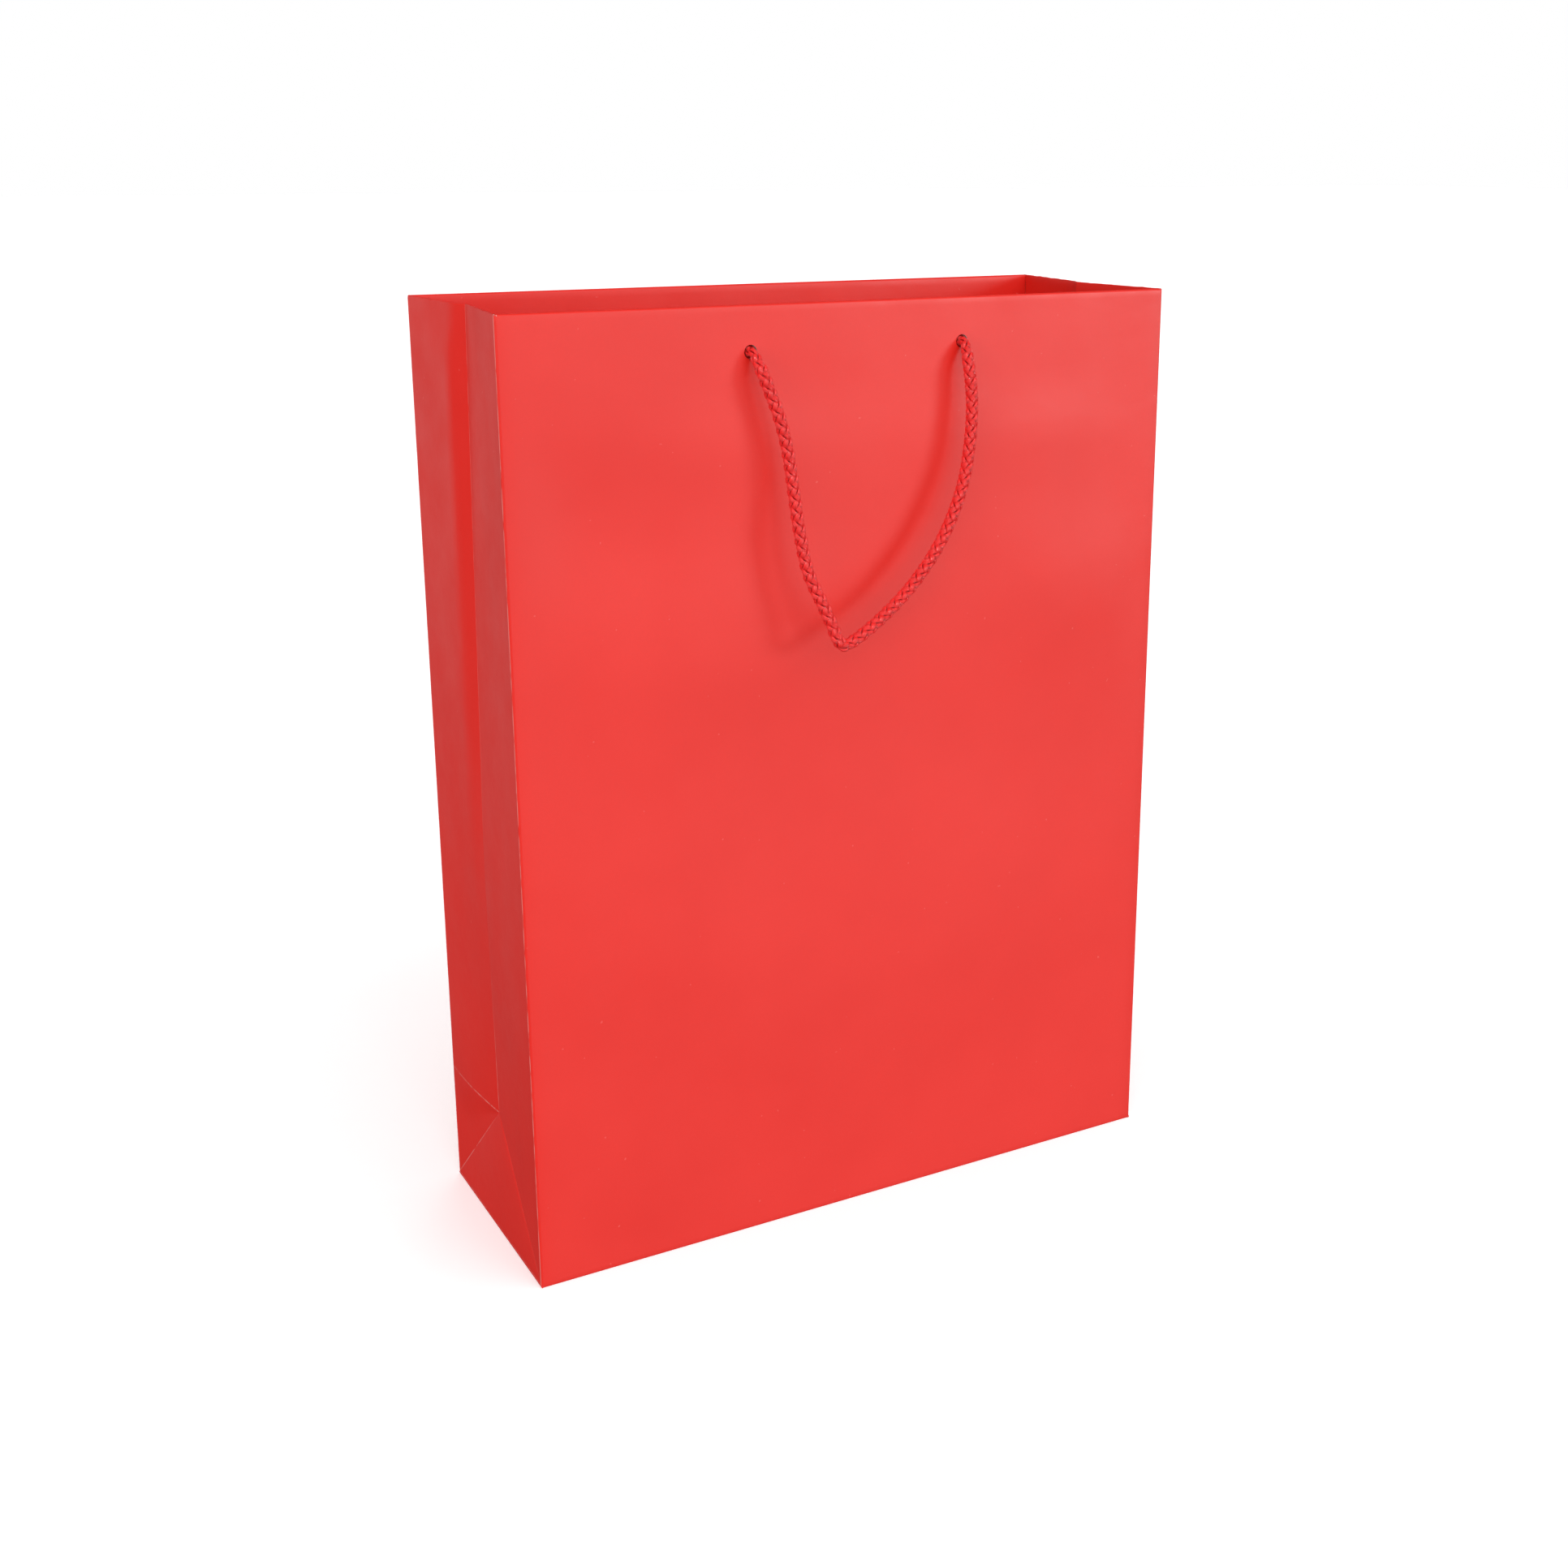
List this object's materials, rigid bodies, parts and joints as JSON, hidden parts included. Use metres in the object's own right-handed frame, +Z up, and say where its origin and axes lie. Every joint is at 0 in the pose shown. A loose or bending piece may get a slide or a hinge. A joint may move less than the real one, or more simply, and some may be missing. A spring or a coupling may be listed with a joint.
{
  "type": "gift bag",
  "caption": "Tall red folded-paper gift bag with side gussets, turned-in rim hem, loose base board and two knotted cord handles.",
  "frame": {"origin": "middle of the base on the surface the bag stands on", "axes": "+Z up, front panel facing -Y, +X to the right seen from the front"},
  "size_m": [0.25, 0.126, 0.33],
  "materials": {
    "paper": "matt laminated",
    "hem_paper": "matt laminated",
    "rim_card": "raw grey-brown card",
    "base_board": "uncoated white-lined board",
    "cord": "braided satin polypropylene"
  },
  "bodies": {
    "base": {"base_outer_flap": "paper", "base_inner_flap": "paper", "base_left_flap": "paper", "base_right_flap": "paper", "base_board": "base_board"},
    "front_wall": {"front_panel": "paper", "front_rim_card": "rim_card", "front_hem": "hem_paper", "front_left_knot": "cord", "front_right_knot": "cord"},
    "back_wall": {"back_panel": "paper", "back_rim_card": "rim_card", "back_hem": "hem_paper", "back_left_knot": "cord", "back_right_knot": "cord", "side_seam_flap": "paper"},
    "left_foot": {"left_gusset_foot": "paper"},
    "right_foot": {"right_gusset_foot": "paper"},
    "left_front_edge": {"left_front_gusset_edge": "paper"},
    "left_front_fold": {"left_front_gusset_fold": "paper", "left_front_gusset_hem": "hem_paper"},
    "left_back_edge": {"left_back_gusset_edge": "paper"},
    "left_back_fold": {"left_back_gusset_fold": "paper", "left_back_gusset_hem": "hem_paper"},
    "right_front_edge": {"right_front_gusset_edge": "paper"},
    "right_front_fold": {"right_front_gusset_fold": "paper", "right_front_gusset_hem": "hem_paper"},
    "right_back_edge": {"right_back_gusset_edge": "paper"},
    "right_back_fold": {"right_back_gusset_fold": "paper", "right_back_gusset_hem": "hem_paper"},
    "front_handle": {"front_handle": "cord"},
    "back_handle": {"back_handle": "cord"}
  },
  "joints": [
    {"name": "mouth_close", "type": "hinge", "parent": "base", "child": "front_wall", "pos_m": [0, -0.045, 0.0006], "axis": [-1, 0, 0], "range_deg": [0, 5.4]},
    {"name": "back_wall_lean", "type": "hinge", "parent": "base", "child": "back_wall", "pos_m": [0, 0.045, 0.0006], "axis": [1, 0, 0], "range_deg": [0, 5.41]},
    {"name": "left_foot_tilt", "type": "hinge", "parent": "base", "child": "left_foot", "pos_m": [-0.125, 0, 0.0006], "axis": [0, 1, 0], "range_deg": [0, 21.35]},
    {"name": "right_foot_tilt", "type": "hinge", "parent": "base", "child": "right_foot", "pos_m": [0.125, 0, 0.0006], "axis": [0, -1, 0], "range_deg": [0, 21.35]},
    {"name": "left_front_edge_turn", "type": "hinge", "parent": "front_wall", "child": "left_front_edge", "pos_m": [-0.125, -0.045, 0.0006], "axis": [0, -0.0017, -1], "range_deg": [0, 21.35]},
    {"name": "left_front_fold_turn", "type": "hinge", "parent": "left_front_edge", "child": "left_front_fold", "pos_m": [-0.12234, 0, 0.04552], "axis": [0.0092, 0.1543, -0.988], "range_deg": [0, 42.36]},
    {"name": "left_back_edge_turn", "type": "hinge", "parent": "back_wall", "child": "left_back_edge", "pos_m": [-0.125, 0.045, 0.0006], "axis": [0, -0.0017, 1], "range_deg": [0, 21.35]},
    {"name": "left_back_fold_turn", "type": "hinge", "parent": "left_back_edge", "child": "left_back_fold", "pos_m": [-0.12234, 0, 0.04552], "axis": [-0.0092, 0.1543, 0.988], "range_deg": [0, 42.36]},
    {"name": "right_front_edge_turn", "type": "hinge", "parent": "front_wall", "child": "right_front_edge", "pos_m": [0.125, -0.045, 0.0006], "axis": [0, 0.0017, 1], "range_deg": [0, 21.35]},
    {"name": "right_front_fold_turn", "type": "hinge", "parent": "right_front_edge", "child": "right_front_fold", "pos_m": [0.12234, 0, 0.04552], "axis": [0.0092, -0.1543, 0.988], "range_deg": [0, 42.36]},
    {"name": "right_back_edge_turn", "type": "hinge", "parent": "back_wall", "child": "right_back_edge", "pos_m": [0.125, 0.045, 0.0006], "axis": [0, 0.0017, -1], "range_deg": [0, 21.35]},
    {"name": "right_back_fold_turn", "type": "hinge", "parent": "right_back_edge", "child": "right_back_fold", "pos_m": [0.12234, 0, 0.04552], "axis": [-0.0092, -0.1543, -0.988], "range_deg": [0, 42.36]},
    {"name": "front_handle_swing", "type": "hinge", "parent": "front_wall", "child": "front_handle", "pos_m": [0, -0.0485, 0.315], "axis": [-1, 0, 0], "range_deg": [0, 172]},
    {"name": "back_handle_swing", "type": "hinge", "parent": "back_wall", "child": "back_handle", "pos_m": [0, 0.0485, 0.315], "axis": [1, 0, 0], "range_deg": [0, 172]}
  ],
  "couplings": [
    {"joint": "back_wall_lean", "follows": "mouth_close", "ratio": 1},
    {"joint": "left_foot_tilt", "follows": "mouth_close", "ratio": 3.9517},
    {"joint": "right_foot_tilt", "follows": "mouth_close", "ratio": 3.9517},
    {"joint": "left_front_edge_turn", "follows": "mouth_close", "ratio": 3.9517},
    {"joint": "left_front_fold_turn", "follows": "mouth_close", "ratio": 7.8431},
    {"joint": "left_back_edge_turn", "follows": "mouth_close", "ratio": 3.9517},
    {"joint": "left_back_fold_turn", "follows": "mouth_close", "ratio": 7.8431},
    {"joint": "right_front_edge_turn", "follows": "mouth_close", "ratio": 3.9517},
    {"joint": "right_front_fold_turn", "follows": "mouth_close", "ratio": 7.8431},
    {"joint": "right_back_edge_turn", "follows": "mouth_close", "ratio": 3.9517},
    {"joint": "right_back_fold_turn", "follows": "mouth_close", "ratio": 7.8431}
  ]
}
